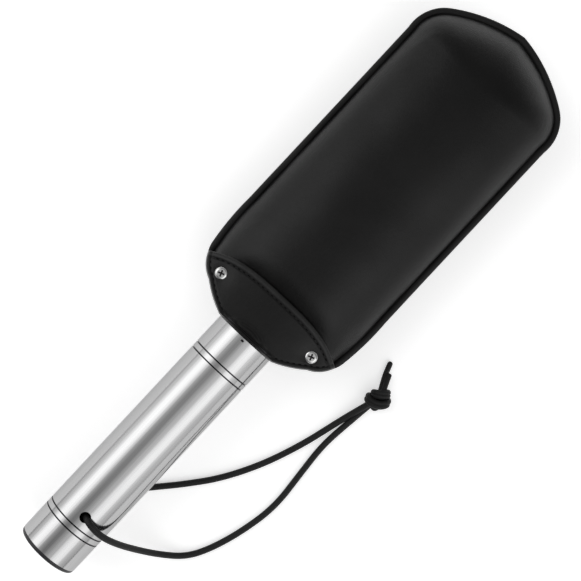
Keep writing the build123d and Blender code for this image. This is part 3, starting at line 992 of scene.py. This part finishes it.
def cord_knot():
    """The overhand knot of the doubled cord: a lower and an upper turn, a bump below and a turn behind."""
    lower_turn = [
        (-2.8, -1.8, 1.8), (-4.0, -2.4, 2.0), (-4.4, -3.0, 4.2), (-3.2, -3.6, 5.8), (-0.6, -3.3, 6.5),
        (2.3, -1.9, 6.3), (4.1, 0.3, 5.6), (4.7, 1.7, 3.6), (3.2, 2.0, 2.0),
    ]
    upper_turn = [
        (-1.4, 0.8, 2.4), (-3.0, 0.0, 2.6), (-3.7, 0.0, 4.6), (-2.6, 0.8, 6.2), (-0.8, 2.1, 6.6),
        (0.9, 3.5, 6.2), (1.9, 4.8, 4.6), (1.2, 4.2, 2.4),
    ]
    lower_bump = [(-0.2, -3.2, 2.4), (1.0, -4.0, 2.6), (2.1, -3.6, 3.2), (2.4, -1.6, 3.4)]
    back_turn = [(-2.4, -0.8, 2.4), (0.2, 0.8, 2.4), (1.8, 2.4, 2.6), (2.8, 2.9, 2.8)]
    shapes = knot_strands(lower_turn, (-0.35, 0.94)) + knot_strands(upper_turn, (-0.6, 0.8))
    shapes += knot_strands(lower_bump, (0.0, 0.6)) + knot_strands(back_turn, (-0.5, 0.86))
    piece = bundle("cord_knot_turns", shapes)
    paint(piece, woven)
    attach(piece, "grip")
    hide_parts("cord_knot")
    return piece


knot = cord_knot()


def cord_tail(name, route):
    """A free end of the cord beyond the knot."""
    line = resample(nurbs_line(name + "_line", route), 0.35 * MM)
    piece = tube(name, line, STRAND / 2, taper=rounded_end)
    paint(piece, woven)
    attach(piece, "grip")
    return piece


long_tail = cord_tail(
    "cord_tail_long", [(62.9, 153.4, 3.6), (60.4, 158.4, 2.6), (58.9, 161.6, 1.7), (56.8, 167.8, 1.4)],
)
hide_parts("cord_tail")
short_tail = cord_tail(
    "cord_tail_short", [(63.9, 153.8, 5.0), (62.3, 157.4, 4.2), (60.6, 161.6, 3.0), (60.0, 163.3, 2.6)],
)

# ---- Stage ------------------------------------------------------------------------------------


def floor():
    """A pale floor, larger than any view of it."""
    corners = [(-4, -4, 0), (4, -4, 0), (4, 4, 0), (-4, 4, 0)]
    piece = make_mesh("floor", corners, [(0, 1, 2, 3)], shade_smooth=False)
    shader = Shader("floor_paper", Roughness=1.0, Specular_IOR_Level=0.0, Emission_Strength=0.5)
    shader.settle(Emission_Color=(1.0, 1.0, 1.0, 1.0))
    mottle = shader.noise(9.0, 2.0)
    shader.drive("Base Color", shader.colours(mottle, (0.3, (0.85, 0.85, 0.85)), (0.7, (0.87, 0.87, 0.87))))
    paint(piece, shader.material)


floor()

# How far the softboxes are from the grip's axis, their length, and where their middle is along Y
SOFTBOX_DISTANCE = 1.0
SOFTBOX_LENGTH = 1.05
SOFTBOX_Y = -0.27


def side_softbox(name, centre, half_span, profile):
    """A long softbox beside the object, with brightness given by angle from straight up.

    Angles are in degrees as seen from the grip's axis, and the light fades smoothly between them."""
    light = bpy.data.lights.new(name, "AREA")
    light.shape = "RECTANGLE"
    light.size = 2 * SOFTBOX_DISTANCE * math.tan(math.radians(half_span))
    light.size_y = SOFTBOX_LENGTH
    brightest = max(brightness for _, brightness in profile)
    light.energy = brightest * light.size * light.size_y * math.pi
    light.use_nodes = True
    tree = light.node_tree
    position = tree.nodes.new("ShaderNodeNewGeometry")
    split = tree.nodes.new("ShaderNodeSeparateXYZ")
    ramp = tree.nodes.new("ShaderNodeValToRGB")
    ramp.color_ramp.interpolation = "EASE"
    stops = []
    for angle, brightness in profile:
        across = math.tan(math.radians(angle - centre)) / math.tan(math.radians(half_span))
        stops.append((0.5 + across / 2, (brightness / brightest,) * 3))
    fill_ramp(ramp, stops)
    tree.links.new(position.outputs["Parametric"], split.inputs["Vector"])
    tree.links.new(split.outputs["X"], ramp.inputs["Fac"])
    tree.links.new(ramp.outputs["Color"], tree.nodes["Emission"].inputs["Color"])
    holder = bpy.data.objects.new(name, light)
    turn = math.radians(centre)
    away = Vector((math.sin(turn), 0.0, math.cos(turn)))
    along = Vector((0.0, 1.0, 0.0))
    holder.location = Vector((0.0, SOFTBOX_Y, axis_z * MM)) + away * SOFTBOX_DISTANCE
    holder.rotation_mode = "QUATERNION"
    holder.rotation_quaternion = Matrix((along.cross(away), along, away)).transposed().to_quaternion()
    bpy.context.scene.collection.objects.link(holder)


side_softbox("left_softbox", -50.0, 40.0, [
    (-89.0, 0.0), (-74.0, 0.48), (-64.0, 1.08), (-56.0, 1.7), (-47.0, 1.76), (-39.0, 1.6),
    (-31.0, 1.0), (-23.0, 0.26), (-15.0, 0.1), (-11.0, 0.0),
])
side_softbox("right_softbox", 43.0, 47.0, [
    (-3.0, 0.0), (8.0, 0.26), (17.0, 0.52), (24.0, 0.6), (31.0, 1.15), (39.0, 1.42),
    (47.0, 1.47), (56.0, 1.36), (64.0, 0.65), (75.0, 0.3), (88.0, 0.0),
])

# The sky's brightness at the horizon and overhead
HORIZON = 0.9
OVERHEAD = 0.5

# The share of that brightness by direction, from towards -Y at position 0 to towards +Y at 1
LENGTHWISE = [
    (0.0, 0.3), (0.12, 0.3), (0.32, 0.5), (0.44, 0.95),
    (0.5, 1.0), (0.6, 0.9), (0.76, 0.45), (0.97, 0.5),
]


def sky_light():
    """A soft sky, brightest over the middle of the object and dimmer towards its two ends."""
    world = bpy.data.worlds.new("studio")
    world.use_nodes = True
    sky = world.node_tree
    direction = sky.nodes.new("ShaderNodeTexCoord")
    split = sky.nodes.new("ShaderNodeSeparateXYZ")
    fade = sky.nodes.new("ShaderNodeMapRange")
    fade.inputs["From Min"].default_value = 0.0
    fade.inputs["From Max"].default_value = 0.9
    fade.inputs["To Min"].default_value = HORIZON
    fade.inputs["To Max"].default_value = OVERHEAD
    lengthwise = sky.nodes.new("ShaderNodeMapRange")
    lengthwise.inputs["From Min"].default_value = -1.0
    ends = sky.nodes.new("ShaderNodeValToRGB")
    ends.color_ramp.interpolation = "EASE"
    fill_ramp(ends, [(position, (share, share, share)) for position, share in LENGTHWISE])
    sky.links.new(direction.outputs["Generated"], split.inputs["Vector"])
    sky.links.new(split.outputs["Z"], fade.inputs["Value"])
    sky.links.new(split.outputs["Y"], lengthwise.inputs["Value"])
    sky.links.new(lengthwise.outputs["Result"], ends.inputs["Fac"])
    sky.links.new(ends.outputs["Color"], sky.nodes["Background"].inputs["Color"])
    sky.links.new(fade.outputs["Result"], sky.nodes["Background"].inputs["Strength"])
    bpy.context.scene.world = world


sky_light()
bpy.context.scene.view_settings.view_transform = "Standard"

# ---- Camera -----------------------------------------------------------------------------------

# The camera looks straight down, and is shifted to frame a station further up than the one it is
# over. FIELD_MM is what it sees across at the height of the grip's axis.
VIEW_TURN = math.radians(42.98)
CAMERA_X = 0.4
CAMERA_STATION = 148.5
FRAMED_STATION = 159.7
CAMERA_HEIGHT = 560.0
FIELD_MM = 260.3

camera_data = bpy.data.cameras.new("camera")
camera = bpy.data.objects.new("camera", camera_data)
bpy.context.scene.collection.objects.link(camera)
right = Vector((math.cos(VIEW_TURN), math.sin(VIEW_TURN), 0.0))
up = Vector((-math.sin(VIEW_TURN), math.cos(VIEW_TURN), 0.0))
place = at(CAMERA_X, CAMERA_STATION, axis_z + CAMERA_HEIGHT)
camera.matrix_world = Matrix.Translation(place) @ Matrix((right, up, right.cross(up))).transposed().to_4x4()
framed = Vector((0.0, FRAMED_STATION - CAMERA_STATION, 0.0)) / FIELD_MM
camera_data.sensor_width = 36.0
camera_data.lens = camera_data.sensor_width * CAMERA_HEIGHT / FIELD_MM
camera_data.shift_x = framed.dot(right)
camera_data.shift_y = framed.dot(up)
camera_data.clip_start = 0.01
camera_data.clip_end = 20.0
bpy.context.scene.camera = camera
